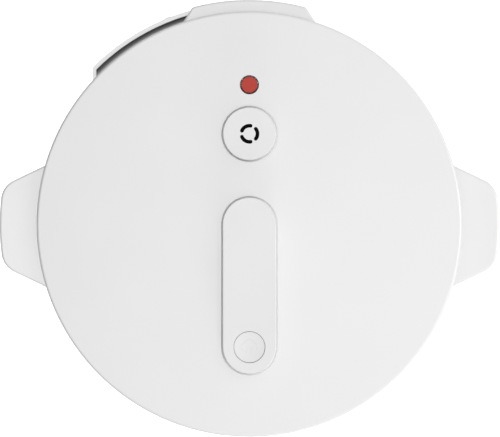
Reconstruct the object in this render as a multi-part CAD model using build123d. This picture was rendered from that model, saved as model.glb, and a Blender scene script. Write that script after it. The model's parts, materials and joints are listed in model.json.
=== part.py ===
from build123d import *
import math
import os

# Electric pressure cooker with a twist-off bayonet lid, in millimetres.
#
# The origin is the centre of the resting plane, on the lid's turning axis. +Z is up. -Y is the front,
# with the control panel. +Y is the rear, where the lid's tab passes over the trough of the body's shelf.
# Each piece is its own solid or group of solids, written to parts/NAME.step. The lid is locked and every
# valve is at rest.

# ------------------------------------------------------------------------------- driving dimensions
LID_R = 140.0  # the lid's radius, which the rest of the cooker follows
GAP = 0.1  # between neighbours that don't move against each other
SEAM = 0.3  # a visible seam between flush pieces

# body
FOOT_H = 4.5
FOOT_R = 100.0
FOOT_W = 8.0
FOOT_ANGLES = (45, 135, 225, 315)
BODY_Z0 = 6.0
BODY_TOP = 206.0
BODY_TOP_R = 137.5
BODY_MID_R = 134.0
BODY_BOTTOM_R = 123.2
BODY_WALL = 2.5
BOTTOM_R = 120.2  # the opening in the housing's underside
BOTTOM_SCREW_R = 112.0
BOTTOM_SCREW_ANGLES = (0, 90, 180, 270)

# rear shelf, its trough and the dark ring that lines it
SHELF_R = 146.2
SHELF_RIM = 2.6
SHELF_END = 2.3
SHELF_Z0 = 188.0
SHELF_FLOOR = 2.5
SHELF_TOP = 212.0
SHELF_LEFT_X = -103.3  # the left end wall is parallel to Y
TROUGH_FLOOR = 192.6
TROUGH_TOP = 204.0
LINER_Z0 = 183.0
LINER_R = 134.9

# carrying ears
EAR_REACH = 164.7
EAR_TOP = 204.0
EAR_H = 17.0
EAR_WALL = 4.0
EAR_FRONT_EXTRA = 2.4  # how much wider an ear is towards the cooker's front
EAR_TOP_ROUND = 1.4
EAR_LUG_Z0 = 168.0
EAR_LUG_R = 142.5
EAR_SCREW_Y = 20.0
EAR_SCREW_Z = 176.0

# pots
POT_R = 110.0
POT_WALL = 1.5
POT_BOTTOM = 48.0
POT_RIM_R = 118.5
POT_RIM_TOP = 199.0
OUTER_R = 113.5
OUTER_BOTTOM = 30.0
OUTER_RIM_R = 122.0

# bayonet: the outer pot's teeth point out and the lid's teeth pass under them
TEETH = 6
TOOTH_ANGLE = 27.0
TOOTH_H = 2.6
OUTER_TOOTH_Z = 193.0
OUTER_TOOTH_R = 129.5
LID_TOOTH_Z = 187.0
LID_TOOTH_R = 125.0
LID_TURN = 29.5  # degrees from locked to unlocked

# lid
STEEL_Z = 206.0
STEEL_T = 1.8
STEEL_TOP = STEEL_Z + STEEL_T
SKIRT_R = 133.0
BAND_Z0 = 208.0
COVER_Z0 = 228.3
COVER_T = 2.5
COVER_FILLET = 1.6
DOME_TOP = 243.0
DOME_DROP = 5.0  # how far the dome has fallen at DOME_EDGE_R
DOME_EDGE_R = 132.0
TAB_R = 147.7
TAB_Z0 = 213.5
TAB_TOP = 226.0
TAB_TOP_ROUND = 1.3
LID_BOSS_R = 95.0
LID_BOSS_ANGLES = (30, 150, 210, 330)
RING_SCREW_R = 126.0
RING_SCREW_ANGLES = (15, 75, 135, 195, 255, 315)

# handle and release button
HANDLE_R = 18.6  # where its side meets the dome
HANDLE_FOOT_R = 18.9  # at the bottom of the drafted side
HANDLE_DRAFT = 3.2  # degrees
HANDLE_REAR_Y = 0.0
HANDLE_FRONT_Y = -80.7
HANDLE_TOP = 262.0
HANDLE_WALL = 2.6
HANDLE_SCREW_YS = (8.0, -52.0)
BUTTON_R = 10.1
BUTTON_SEAM = 0.25
TOP_EDGE_ROUND = 0.4  # on the handle and the valve cap
BUTTON_EDGE_ROUND = 0.2  # on the release button and on the rim of its bore
BUTTON_TOP = HANDLE_TOP - 0.15
BUTTON_Z0 = 256.5

# steam valve
VALVE_Y = 59.4
VALVE_R = 18.4
VALVE_TOP_R = 17.3
VALVE_Z0 = 243.8
VALVE_TOP = 254.0
SLOT_RING_R = 5.3
SLOT_W = 2.4
SLOT_SPAN = 77.0  # degrees of centre line in each steam slot
WEIGHT_R = 11.0
WEIGHT_NECK_R = 7.2
WEIGHT_SHOULDER_Z = 224.0
WEIGHT_TOP = 240.0
PIPE_R = 5.0
PIPE_BORE_R = 2.5
PIPE_TOP = 229.4

# release lever
LEVER_Y = -20.0
LEVER_Z = 219.0
LEVER_H = 3.4

# float valve
FLOAT_Y = 91.7
FLOAT_R = 5.6
FLOAT_HOLE_R = 6.3
FLOAT_TRAVEL = 4.0

# interlock: the rod's tail pin follows a spiral cam in the trough
LOCK_TRAVEL = 3.8
PIN_R = 1.3
PIN_Y = 138.5
CAM_GAP = 0.15
ROD_Z = 218.7
ROD_HALF_H = 1.1

# control panel
PANEL_W = 56.0
PANEL_Z0 = 60.0
PANEL_Z1 = 172.0
DISPLAY_W = 38.0
DISPLAY_H = 20.0
DISPLAY_Z = 147.0
KNOB_Z = 106.0
KNOB_R = 20.0
KNOB_FRONT = -139.8
KNOB_BACK = -132.9
SHAFT_R = 3.0
RUNNING_GAP = 0.05
KEY_Z = 74.0
KEY_X = 13.0
KEY_R = 6.0
BOARD_FRONT = -125.5  # front face of the control board

# condensate cup, under the shelf
CUP_ANGLE = 105.0
CUP_W = 44.0
CUP_R0 = 123.0
CUP_R1 = 146.0
CUP_Z0 = 128.0
CUP_Z1 = 181.0

# power inlet
INLET_ANGLE = 55.0
INLET_Z = 46.0
INLET_W = 28.0
INLET_H = 22.0
INLET_PINS = ((-6.0, -1.5), (0.0, 2.5), (6.0, -1.5))

# heating
PLATE_R = 88.0
PLATE_HOLE_R = 14.0
PLATE_Z0 = 38.0
TUBE_RING_R = 62.0
TUBE_Z = 38.5
TUBE_R = 4.2
TUBE_END_X = 14.0
TUBE_END_Y = -math.sqrt(TUBE_RING_R**2 - TUBE_END_X**2)
POST_R = 95.0
POST_ANGLES = (30, 150, 270)
SENSOR_R = 11.0
STEM_R = 4.0
BRACKET_Z = 16.0

REACH = 250.0  # longer than anything in the model, for cutting tools


# ------------------------------------------------------------------------------------ shape helpers
def polar(radius, angle):
    """A point on the XY plane, its bearing in degrees from +X."""
    a = math.radians(angle)
    return radius * math.cos(a), radius * math.sin(a)


def disc(radius, z0, z1, x=0.0, y=0.0):
    return Pos(x, y, z0) * extrude(Circle(radius), z1 - z0)


def tube(inner, outer, z0, z1, x=0.0, y=0.0):
    return Pos(x, y, z0) * extrude(Circle(outer) - Circle(inner), z1 - z0)


def block(x0, x1, y0, y1, z0, z1):
    middle = Pos((x0 + x1) / 2, (y0 + y1) / 2, (z0 + z1) / 2)
    return middle * Box(x1 - x0, y1 - y0, z1 - z0)


def along_x(radius, x0, x1, y, z):
    """A cylinder whose axis runs along X."""
    return Pos((x0 + x1) / 2, y, z) * Rot(0, 90, 0) * Cylinder(radius, abs(x1 - x0))


def along_y(radius, y0, y1, x, z):
    """A cylinder whose axis runs along Y."""
    return Pos(x, (y0 + y1) / 2, z) * Rot(90, 0, 0) * Cylinder(radius, abs(y1 - y0))


def turned(corners):
    """A solid of revolution about Z from (radius, z) corners."""
    return revolve(Plane.XZ * make_face(Polyline(corners, close=True)), Axis.Z, 360)


def prism(corners, z0, z1):
    """An upright prism on the corners of a plan outline."""
    return Pos(0, 0, z0) * extrude(make_face(Polyline(corners, close=True)), z1 - z0)


def sector(inner, outer, angle0, angle1, z0, z1):
    """Part of a ring, under 180 degrees, between two bearings."""
    middle = (angle0 + angle1) / 2
    far = REACH / math.cos(math.radians((angle1 - angle0) / 2))
    slice_corners = [(0, 0), polar(REACH, angle0), polar(far, middle), polar(REACH, angle1)]
    return tube(inner, outer, z0, z1) & prism(slice_corners, z0, z1)


def stadium(radius, y0, y1, z0, z1, draft=0):
    """An upright pill along Y with end centres at y0 and y1. It narrows upwards by the draft, in degrees."""
    plan = Rot(0, 0, 90) * SlotCenterToCenter(y1 - y0, 2 * radius)
    return Pos(0, (y0 + y1) / 2, z0) * extrude(plan, z1 - z0, taper=draft)


def at_angle(shape, angle):
    """A shape made on bearing 0, turned about Z to another bearing."""
    return Rot(0, 0, angle) * shape


def around(shape, angles):
    return [at_angle(shape, angle) for angle in angles]


def without(shape, tools):
    for tool in tools:
        shape -= tool
    return shape


def joined(shape, others):
    for other in others:
        shape += other
    return shape


def level_edges(shape, z):
    """The edges that lie in the plane at height z."""
    tolerance = 0.05
    at_z = [e for e in shape.edges() if abs(e.center().Z - z) < tolerance]
    return [e for e in at_z if e.bounding_box().size.Z < tolerance]


def level_circles(shape, z, radius):
    circles = [e for e in level_edges(shape, z) if e.geom_type == GeomType.CIRCLE]
    return [e for e in circles if abs(e.radius - radius) < 0.1]


def coil(radius, wire, length, turns):
    """A compression spring of round wire that fills z = 0 to length."""
    rise = length - 2 * wire
    path = Pos(0, 0, wire) * Helix(rise / turns, rise, radius)
    return sweep(Plane(path @ 0, z_dir=path % 0) * Circle(wire), path, is_frenet=True)


def screw(x, y, seat, length, up):
    """A pan-head screw with a cross recess. up is 1 for a head above its seat and -1 for one below."""
    radius, head_r, head_h = 1.4, 2.8, 1.6
    arm, half_w, depth = 1.6, 0.4, 0.6
    head_z, tip = seat + up * head_h, seat - up * length
    body = disc(head_r, min(seat, head_z), max(seat, head_z), x, y)
    body += disc(radius, min(seat, tip), max(seat, tip), x, y)
    body -= block(x - arm, x + arm, y - half_w, y + half_w, head_z - depth, head_z + depth)
    return body - block(x - half_w, x + half_w, y - arm, y + arm, head_z - depth, head_z + depth)


def dome_z(radius):
    """Height of the lid cover's top at a radius from the axis."""
    sphere_r = (DOME_EDGE_R**2 + DOME_DROP**2) / (2 * DOME_DROP)
    return DOME_TOP - sphere_r + math.sqrt(sphere_r**2 - radius**2)


# ------------------------------------------------------------------------------------ plan outlines
def shelf_block(z0, z1, rim=0.0, end=0.0, inner=130.0):
    """The rear shelf, pulled in by rim from its round side and by end from its two end walls."""
    left = SHELF_LEFT_X + end
    right_far, right_near = -3.0 - end, 86.9 - end  # the right end wall slants, hidden under the tab
    ends = [(left, 60), (left, 200), (right_far, 200), (right_near, 60)]
    plan = Circle(SHELF_R - rim) & make_face(Polyline(ends, close=True))
    return Pos(0, 0, z0) * extrude(plan - Circle(inner), z1 - z0)


def tab_block(z0, z1, inset=0.0):
    """The lid's rear tab, a wedge with a round nose and flanks that lean in towards it."""
    root_x, nose_x = 49.7 - inset, 34.5 - inset
    root_y, nose_y = 123.5, 147.6
    half = [(root_x, root_y), (nose_x, nose_y), (nose_x, nose_y + 3)]
    outline = half + [(-x, y) for x, y in reversed(half)]
    plan = Circle(TAB_R - inset) & make_face(Polyline(outline, close=True))
    plan = fillet([v for v in plan.vertices() if v.Y > root_y + 10], 3.0)
    return Pos(0, 0, z0) * extrude(plan, z1 - z0)


def ear_block(z0, z1, front, inset=0.0):
    """One ear along X: straight flanks that lean in, the front one a little wider, and a curved outer side.

    front is the sign of Y on which the cooker's front lies.
    """
    root_x, root_y = 110, 50.7 - inset
    tip_x, tip_y = 175, 19.4 - inset
    outline = [
        (root_x, front * (root_y + EAR_FRONT_EXTRA)),
        (tip_x, front * (tip_y + EAR_FRONT_EXTRA)),
        (tip_x, -front * tip_y),
        (root_x, -front * root_y),
    ]
    plan = Circle(EAR_REACH - inset) & make_face(Polyline(outline, close=True))
    plan = fillet([v for v in plan.vertices() if v.X > root_x + 40], 15.0 - inset)
    return Pos(0, 0, z0) * extrude(plan, z1 - z0)


def cup_box(r0, r1, width, z0, z1):
    return at_angle(block(r0, r1, -width / 2, width / 2, z0, z1), CUP_ANGLE)


def inlet_box(r0, r1, width, height, side=0.0, up=0.0):
    z = INLET_Z + up
    box = block(r0, r1, side - width / 2, side + width / 2, z - height / 2, z + height / 2)
    return at_angle(box, INLET_ANGLE)


# ------------------------------------------------------------------------------------- base: shells
def body_solid(inset):
    """The housing's form as one solid, pulled in by inset. It runs past the top as a cutting tool."""
    heel_z, waist_z, straight_z = BODY_Z0 + 19, 60, 176
    top = BODY_TOP + (1 if inset > 0 else 0)
    solid = turned([
        (0, BODY_Z0 + inset),
        (BODY_BOTTOM_R - inset * 0.6, BODY_Z0 + inset),
        (BODY_MID_R - 1 - inset, heel_z + inset * 0.3),
        (BODY_MID_R - inset, waist_z),
        (BODY_TOP_R - inset, straight_z),
        (BODY_TOP_R - inset, top),
        (0, top),
    ])
    if inset == 0:
        heel = [e for e in level_edges(solid, heel_z) if e.geom_type == GeomType.CIRCLE]
        solid = fillet(heel, 18.0)
    return solid


def make_housing():
    """The body shell: wall, rear shelf and screw bosses, open for the panel, the cup and the inlet."""
    shell = body_solid(0) - body_solid(BODY_WALL) - disc(BOTTOM_R, 0, BODY_Z0 + 14)

    corbel_h, corbel_in = 6.0, 4.0
    corbel = shelf_block(SHELF_Z0, SHELF_TOP, inner=BODY_TOP_R - 1)
    corbel += shelf_block(SHELF_Z0 - corbel_h, SHELF_Z0, corbel_in, corbel_in, BODY_TOP_R - 1)
    long_edges = [e for e in level_edges(corbel, SHELF_Z0) if e.length > 60]
    corbel = chamfer(long_edges[:1], 3.0)
    shell += corbel - disc(BODY_TOP_R - 0.5, 150, SHELF_TOP + 1)
    wall_in = BODY_TOP_R - BODY_WALL
    shell += shelf_block(SHELF_Z0, SHELF_Z0 + SHELF_FLOOR, inner=wall_in) - disc(wall_in, 150, SHELF_TOP)
    shell -= shelf_block(SHELF_Z0 + SHELF_FLOOR, SHELF_TOP + 8, SHELF_RIM, SHELF_END, wall_in - 1.5)
    shell -= disc(LID_R + 0.4, BAND_Z0 - 1, SHELF_TOP + 8)

    rib = block(BOTTOM_SCREW_R - 3, 131, -1.5, 1.5, 14.5, 26) & body_solid(BODY_WALL / 2)
    boss = disc(4.0, 9.0, 27.5, BOTTOM_SCREW_R) + rib - disc(1.5, 8, 24, BOTTOM_SCREW_R)
    shell = joined(shell, around(boss, BOTTOM_SCREW_ANGLES))

    shell -= inlet_box(100, 150, INLET_W + 1, INLET_H + 1)
    shell -= cup_box(100, 150, CUP_W + 4.2, CUP_Z0 - 2.6, CUP_Z1 + 1.4)
    shell -= panel_column()
    for y in (-EAR_SCREW_Y, EAR_SCREW_Y):
        shell -= along_x(1.6, -REACH, REACH, y, EAR_SCREW_Z)
    return shell - at_angle(drain_hole(), CUP_ANGLE)


def drain_hole():
    """The hole that lets the trough drip into the condensate cup."""
    return disc(2.0, SHELF_Z0 - 8, SHELF_TOP, 140.0)


def make_ear(bearing):
    """A carrying ear: a finger hollow under it, and a lug screwed on from inside the housing."""
    bottom = EAR_TOP - EAR_H
    front = 1 if bearing == 180 else -1
    ear = ear_block(bottom, EAR_TOP, front)
    ear = fillet([e for e in level_edges(ear, EAR_TOP) if e.bounding_box().max.X > 130], EAR_TOP_ROUND)
    ear = fillet([e for e in level_edges(ear, bottom) if e.bounding_box().max.X > 130], 1.5)
    hollow = ear_block(bottom - 1, EAR_TOP - EAR_WALL, front, EAR_WALL)
    ear -= hollow - disc(EAR_LUG_R, bottom - 2, EAR_TOP)
    half_w = 30.0
    lug = disc(EAR_LUG_R, EAR_LUG_Z0, bottom + 1) & block(120, 150, -half_w, half_w, EAR_LUG_Z0, bottom + 1)
    low = [e for e in lug.edges() if abs(e.center().Z - EAR_LUG_Z0) < 0.1]
    ear += fillet([e for e in low if abs(abs(e.center().Y) - half_w) < 0.1], 9.0)
    ear -= body_solid(-GAP)
    for y in (-EAR_SCREW_Y, EAR_SCREW_Y):
        ear -= along_x(1.3, 130, EAR_LUG_R - 1, y, EAR_SCREW_Z)
    return at_angle(ear, bearing)


def make_left_ear():
    return make_ear(180)


def make_right_ear():
    return make_ear(0)


def make_ear_screws():
    """Screws that lie along X with their heads against the housing's inner wall."""
    head_r, head_h, shank_r, length = 2.6, 1.4, 1.25, 6.6
    wall_in = BODY_TOP_R - BODY_WALL
    seat = math.sqrt(wall_in**2 - (EAR_SCREW_Y + head_r) ** 2) - 0.2
    one = along_x(shank_r, seat, seat + length, EAR_SCREW_Y, EAR_SCREW_Z)
    one += along_x(head_r, seat - head_h, seat, EAR_SCREW_Y, EAR_SCREW_Z)
    other = mirror(one, Plane.XZ)
    return [one, other, at_angle(one, 180), at_angle(other, 180)]


def cam_radius(bearing):
    """Where the cam's wall stands when the lid's turn has brought the lock rod's pin to this bearing."""
    turn = min(max(bearing - 90.0, 0.0), LID_TURN + 2.0)
    return PIN_Y + PIN_R + CAM_GAP - LOCK_TRAVEL * turn / LID_TURN


def make_upper_ring():
    """The dark ring under the lid: a drip floor, a liner wall and the rear trough with its spiral cam."""
    rim, end, liner_in = SHELF_RIM + GAP, SHELF_END + GAP, LINER_R - 1.1
    floor = tube(OUTER_R + POT_WALL + 1.2, LINER_R, LINER_Z0, LINER_Z0 + SHELF_FLOOR)
    wall = tube(liner_in, LINER_R, LINER_Z0 + SHELF_FLOOR, BODY_TOP - 1)
    wall -= shelf_block(TROUGH_FLOOR, SHELF_TOP, rim, end, liner_in - 1)

    base = shelf_block(SHELF_Z0 + SHELF_FLOOR + GAP, TROUGH_FLOOR, rim, end, liner_in)
    shoulder = shelf_block(TROUGH_FLOOR, TROUGH_TOP, rim, end, liner_in)
    first, last, steps = 87.0, 90.0 + LID_TURN + 2.5, 12
    bearings = [first + (last - first) * i / steps for i in range(steps + 1)]
    cam = Spline([polar(cam_radius(b), b) for b in bearings])
    root_r = 130
    inner = [polar(cam_radius(last), last), polar(root_r, last)]
    inner += [polar(root_r, first), polar(cam_radius(first), first)]
    channel = extrude(make_face(Curve() + [cam, Polyline(inner)]), SHELF_TOP - TROUGH_FLOOR)
    crown = turned([(132, 204.6), (132, 215), (145, 215), (145, 200.0), (141, 203.6)])
    shoulder -= Pos(0, 0, TROUGH_FLOOR) * channel
    return floor + wall + base + (shoulder - crown) - at_angle(drain_hole(), CUP_ANGLE)


def make_cup_holder():
    """The pocket behind the housing's wall that the condensate cup slides into."""
    outside = cup_box(CUP_R0 - 1.6, 140, CUP_W + 4.0, CUP_Z0 - 2.5, CUP_Z1 + 1.3)
    outside &= disc(BODY_TOP_R - 0.7, CUP_Z0 - 10, CUP_Z1 + 10)
    return outside - cup_box(CUP_R0 - 0.3, 141, CUP_W + 0.8, CUP_Z0 - 0.5, CUP_Z1 + 0.3)


def make_condensate_cup():
    cup = cup_box(CUP_R0, CUP_R1, CUP_W, CUP_Z0, CUP_Z1)
    outer_corners = [e for e in cup.edges() if e.bounding_box().size.Z > 20 and e.center().Y > 130]
    cup = fillet(outer_corners, 5.0)
    wall, front_wall = 1.6, 1.8
    inside_w = CUP_W - 2 * wall
    return cup - cup_box(CUP_R0 + wall, CUP_R1 - front_wall, inside_w, CUP_Z0 + front_wall, CUP_Z1 + 5)


def make_bottom_cover():
    """The plate that closes the underside, with vent slots and countersinks for its screws."""
    z0, z1, lip_top = FOOT_H + 0.1, FOOT_H + 2.6, 14.0
    outer = BOTTOM_R - 0.4
    cover = disc(outer, z0, z1) + tube(outer - 2.4, outer, z1, lip_top)
    for i in range(-4, 5):
        cover -= block(-30, 30, i * 7 - 1.5, i * 7 + 1.5, 0, z1 + 1)
    cover = without(cover, around(disc(1.7, 0, z1 + 1, BOTTOM_SCREW_R), BOTTOM_SCREW_ANGLES))
    cover = without(cover, around(disc(3.4, 0, FOOT_H + 1.2, BOTTOM_SCREW_R), BOTTOM_SCREW_ANGLES))
    return without(cover, around(disc(3.9, 0, z1 + 1, FOOT_R), FOOT_ANGLES))


def make_foot_ring():
    """A rubber ring on four plugs. Channels over it let air reach the vents in the bottom cover."""
    inner, outer, ring_h = FOOT_R - FOOT_W / 2, FOOT_R + FOOT_W / 2, 2.2
    ring = tube(inner, outer, 0, ring_h)
    for radius in (inner, outer):
        ring = fillet(level_circles(ring, 0, radius), 0.8)
    pad = sector(inner, outer, -14, 14, ring_h, FOOT_H)
    plug = disc(3.8, FOOT_H, FOOT_H + 2.7, FOOT_R) + disc(5.0, FOOT_H + 2.7, FOOT_H + 4.0, FOOT_R)
    return joined(ring, around(pad, FOOT_ANGLES) + around(plug, FOOT_ANGLES))


def make_bottom_screws():
    return around(screw(BOTTOM_SCREW_R, 0, FOOT_H + 1.2, 14.0, -1), BOTTOM_SCREW_ANGLES)


# --------------------------------------------------------------------------- base: pots and heating
def make_outer_pot():
    """The fixed steel pot. Its outward teeth hold the lid's inward teeth down."""
    out, top = OUTER_R + POT_WALL, OUTER_TOOTH_Z + TOOTH_H
    centre_hole = PLATE_HOLE_R + 2
    pot = turned([
        (centre_hole, OUTER_BOTTOM),
        (out, OUTER_BOTTOM),
        (out, OUTER_TOOTH_Z),
        (OUTER_RIM_R, OUTER_TOOTH_Z),
        (OUTER_RIM_R, top),
        (OUTER_R, top),
        (OUTER_R, OUTER_BOTTOM + POT_WALL),
        (centre_hole, OUTER_BOTTOM + POT_WALL),
    ])
    pot = fillet(level_circles(pot, OUTER_BOTTOM, out), 1.2)
    half = TOOTH_ANGLE / 2
    tooth = sector(OUTER_RIM_R - 1, OUTER_TOOTH_R, -half, half, OUTER_TOOTH_Z, top)
    pot = joined(pot, around(tooth, [i * 360 / TEETH for i in range(TEETH)]))
    for x in (-TUBE_END_X, TUBE_END_X):
        pot -= disc(5.0, OUTER_BOTTOM - 1, OUTER_BOTTOM + 3, x, TUBE_END_Y)
    return without(pot, around(disc(1.7, OUTER_BOTTOM - 1, OUTER_BOTTOM + 3, POST_R), POST_ANGLES))


def make_inner_pot():
    """The removable cooking pot, drawn from sheet, with a flat rolled rim and a round bottom corner."""
    out, rim_z0, corner = POT_R + POT_WALL, POT_RIM_TOP - 3.0, 18.0
    pot = turned([
        (0, POT_BOTTOM),
        (out, POT_BOTTOM),
        (out, rim_z0),
        (POT_RIM_R, rim_z0),
        (POT_RIM_R, POT_RIM_TOP),
        (POT_R, POT_RIM_TOP),
        (POT_R, POT_BOTTOM + POT_WALL),
        (0, POT_BOTTOM + POT_WALL),
    ])
    pot = fillet(level_circles(pot, POT_BOTTOM, out), corner)
    pot = fillet(level_circles(pot, POT_BOTTOM + POT_WALL, POT_R), corner - POT_WALL)
    rim = level_circles(pot, POT_RIM_TOP, POT_RIM_R) + level_circles(pot, rim_z0, POT_RIM_R)
    return fillet(rim, 1.3)


def make_heating_plate():
    """A cast plate with a groove under it for the heating tube, on three legs on the outer pot."""
    top = POT_BOTTOM - 0.15
    plate = tube(PLATE_HOLE_R, PLATE_R, PLATE_Z0, top)
    plate = fillet(level_circles(plate, top, PLATE_R), 1.0)
    plate -= Pos(0, 0, TUBE_Z) * Torus(TUBE_RING_R, TUBE_R + 0.15)
    plate -= tube(TUBE_RING_R - 2.5, TUBE_RING_R + 2.5, PLATE_Z0 - 4, PLATE_Z0 + 0.3)
    leg = disc(4.0, OUTER_BOTTOM + POT_WALL + GAP, PLATE_Z0, PLATE_R - 8)
    return joined(plate, around(leg, POST_ANGLES))


def make_heating_tube():
    """A sheathed element bent into an open ring. Two cold ends turn down through the outer pot."""
    end_r = 3.6
    half_gap = math.degrees(math.asin(TUBE_END_X / TUBE_RING_R))
    ring = Pos(0, 0, TUBE_Z) * Torus(TUBE_RING_R, TUBE_R)
    ring -= sector(1, REACH - 1, 270 - half_gap, 270 + half_gap, TUBE_Z - 10, TUBE_Z + 10)
    for x in (-TUBE_END_X, TUBE_END_X):
        ring += disc(end_r, 22.0, TUBE_Z, x, TUBE_END_Y)
        ring += Pos(x, TUBE_END_Y, TUBE_Z) * Sphere(end_r)
    return ring


def make_insulation_band():
    """The blanket round the outer pot, with a notch for the cup's pocket."""
    return tube(116.3, 120.0, 62.0, 170.0) - cup_box(110, 125, CUP_W + 6, CUP_Z0 - 5, CUP_Z1 + 5)


def make_support_posts():
    post = disc(5.0, FOOT_H + 2.7, OUTER_BOTTOM - GAP, POST_R)
    post -= disc(1.7, FOOT_H + 12, OUTER_BOTTOM, POST_R)
    return around(post, POST_ANGLES)


def make_pressure_switch():
    """A switch under the outer pot, closed by the pot's bottom as it bows under pressure."""
    x0, x1, y0, y1, z0, z1 = 34.0, 56.0, 14.0, 28.0, 19.0, 28.0
    button = disc(2.0, z1, OUTER_BOTTOM - 0.2, (x0 + x1) / 2, (y0 + y1) / 2)
    tabs = block(x0 + 2, x0 + 3, y0 + 3, y1 - 3, 12.5, z0)
    tabs += block(x1 - 3, x1 - 2, y0 + 3, y1 - 3, 12.5, z0)
    return block(x0, x1, y0, y1, z0, z1) + button + tabs


def make_thermal_fuse():
    y, z = 40.0, 26.5
    return along_x(2.6, -8, 8, y, z) + along_x(0.6, -16, -8, y, z) + along_x(0.6, 8, 16, y, z)


def make_temperature_sensor():
    """A sprung cap that is pushed down by the inner pot, on a stem that runs in the bracket."""
    top = POT_BOTTOM - GAP
    cap = disc(SENSOR_R, 36.0, top)
    cap = fillet(level_circles(cap, top, SENSOR_R), 1.2)
    return cap + disc(STEM_R, 11.0, 36.0)


def make_sensor_spring():
    z0 = BRACKET_Z + POT_WALL + GAP
    return Pos(0, 0, z0) * coil(6.6, 0.6, 35.9 - z0, 6)


def make_sensor_bracket():
    """A bridge under the outer pot's centre hole that guides the sensor's stem."""
    top, half_l, half_w = BRACKET_Z + POT_WALL, 24.0, 4.0
    bridge = disc(13.0, BRACKET_Z, top) + block(-half_l, half_l, -half_w, half_w, BRACKET_Z, top)
    for side in (-1, 1):
        x0, x1 = sorted((side * (half_l - 4), side * half_l))
        bridge += block(x0, x1, -half_w, half_w, top, OUTER_BOTTOM - GAP)
    return bridge - disc(STEM_R + 0.3, BRACKET_Z - 1, top + 1)


# ---------------------------------------------------------------------------------- base: electrics
def make_power_board():
    return block(-96, -34, -40, 40, 11.0, 12.6)


def make_board_components():
    z = 12.7
    relay = block(-92, -74, -34, -20, z, 27.0)
    transformer = block(-70, -48, -34, -14, z, 26.0)
    chip = block(-66, -56, 2, 8, z, 15.0)
    heatsink = block(-90, -88, -8, 12, z, 27.0) + block(-88, -80, -8, 12, z, 14.5)
    capacitors = [disc(5.0, z, 26.5, -52, 18), disc(5.0, z, 26.5, -52, 31), disc(3.2, z, 22.0, -66, 24)]
    return [relay, transformer, chip, heatsink] + capacitors


def make_power_inlet():
    """A three-pin inlet: a socket body behind the wall and a thin bezel outside it."""
    back, front = 121.0, 133.9
    socket = inlet_box(back + 3, 150, 22.0, 15.0)
    body = inlet_box(back, front, INLET_W, INLET_H)
    body += inlet_box(front - 1, front + 1.3, INLET_W + 0.6, INLET_H + 0.6)
    for side, up in INLET_PINS:
        body -= inlet_box(back - 3, back + 5, 2.3, 4.3, side, up)
    return body - socket


def make_inlet_pins():
    return [inlet_box(118.0, 132.0, 2.0, 4.0, side, up) for side, up in INLET_PINS]


def make_reed_switch():
    """The switch that the lid's magnet closes when the lid is locked."""
    return at_angle(block(124.6, 130.6, -12, 12, 177.0, 181.0), 81.0)


# ------------------------------------------------------------------------------ base: control panel
def panel_column(inset=0.0, y0=-150.0, y1=-120.0):
    """The front panel's pill-shaped outline as a column along Y."""
    radius = PANEL_W / 2 - inset
    low, high = PANEL_Z0 + PANEL_W / 2, PANEL_Z1 - PANEL_W / 2
    column = block(-radius, radius, y0, y1, low, high)
    return column + along_y(radius, y0, y1, 0, low) + along_y(radius, y0, y1, 0, high)


def window_column(inset=0.0):
    half_w, half_h = DISPLAY_W / 2 - inset, DISPLAY_H / 2 - inset
    return block(-half_w, half_w, -150, -120, DISPLAY_Z - half_h, DISPLAY_Z + half_h)


def body_skin():
    return body_solid(0) - body_solid(BODY_WALL)


def make_control_panel():
    """A panel flush with the housing, with a window, a round well for the knob and two key holes."""
    well_floor = -132.3
    panel = (body_skin() & panel_column(SEAM)) - window_column()
    panel += along_y(KNOB_R + 3.0, -136.0, well_floor + 2.1, 0, KNOB_Z) & body_solid(0)
    panel -= along_y(KNOB_R + 0.8, -150.0, well_floor, 0, KNOB_Z)
    panel -= along_y(SHAFT_R + 0.4, -150.0, -125.0, 0, KNOB_Z)
    for x in (-KEY_X, KEY_X):
        panel -= along_y(KEY_R + 0.25, -150.0, -120.0, x, KEY_Z)
    return panel


def make_display_lens():
    return body_skin() & window_column(0.15)


def make_display_module():
    return block(-17, 17, -128.8, BOARD_FRONT - GAP, DISPLAY_Z - 9, DISPLAY_Z + 9)


def make_control_board():
    return block(-23, 23, BOARD_FRONT, BOARD_FRONT + 1.6, PANEL_Z0 + 5, PANEL_Z1 - 8)


def make_tact_switches():
    front, half = -126.8, 3.0
    back = BOARD_FRONT - GAP
    return [block(x - half, x + half, front, back, KEY_Z - half, KEY_Z + half) for x in (-KEY_X, KEY_X)]


def make_knob_encoder():
    return along_y(6.5, -130.0, BOARD_FRONT - GAP, 0, KNOB_Z) + along_y(SHAFT_R, -134.8, -130.0, 0, KNOB_Z)


def make_control_knob():
    """A dial with a dished face and a socket that runs on the encoder's shaft."""
    dish_r, dish_depth = 180.0, 1.0
    knob = along_y(KNOB_R, KNOB_FRONT, KNOB_BACK, 0, KNOB_Z)
    knob = fillet([e for e in knob.edges() if abs(e.center().Y - KNOB_FRONT) < 0.05], 1.4)
    knob -= along_y(SHAFT_R + RUNNING_GAP, -135.0, KNOB_BACK, 0, KNOB_Z)
    return knob - Pos(0, KNOB_FRONT + dish_depth - dish_r, KNOB_Z) * Sphere(dish_r)


def make_key(x):
    """A round push key with a flange that keeps it behind the panel."""
    front, back, flange_front = -135.4, -127.9, -129.6
    key = along_y(KEY_R, front, back, x, KEY_Z)
    key = fillet([e for e in key.edges() if abs(e.center().Y - front) < 0.05], 0.8)
    return key + along_y(KEY_R + 1.4, flange_front, back, x, KEY_Z)


def make_start_key():
    return make_key(KEY_X)


def make_cancel_key():
    return make_key(-KEY_X)


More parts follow.
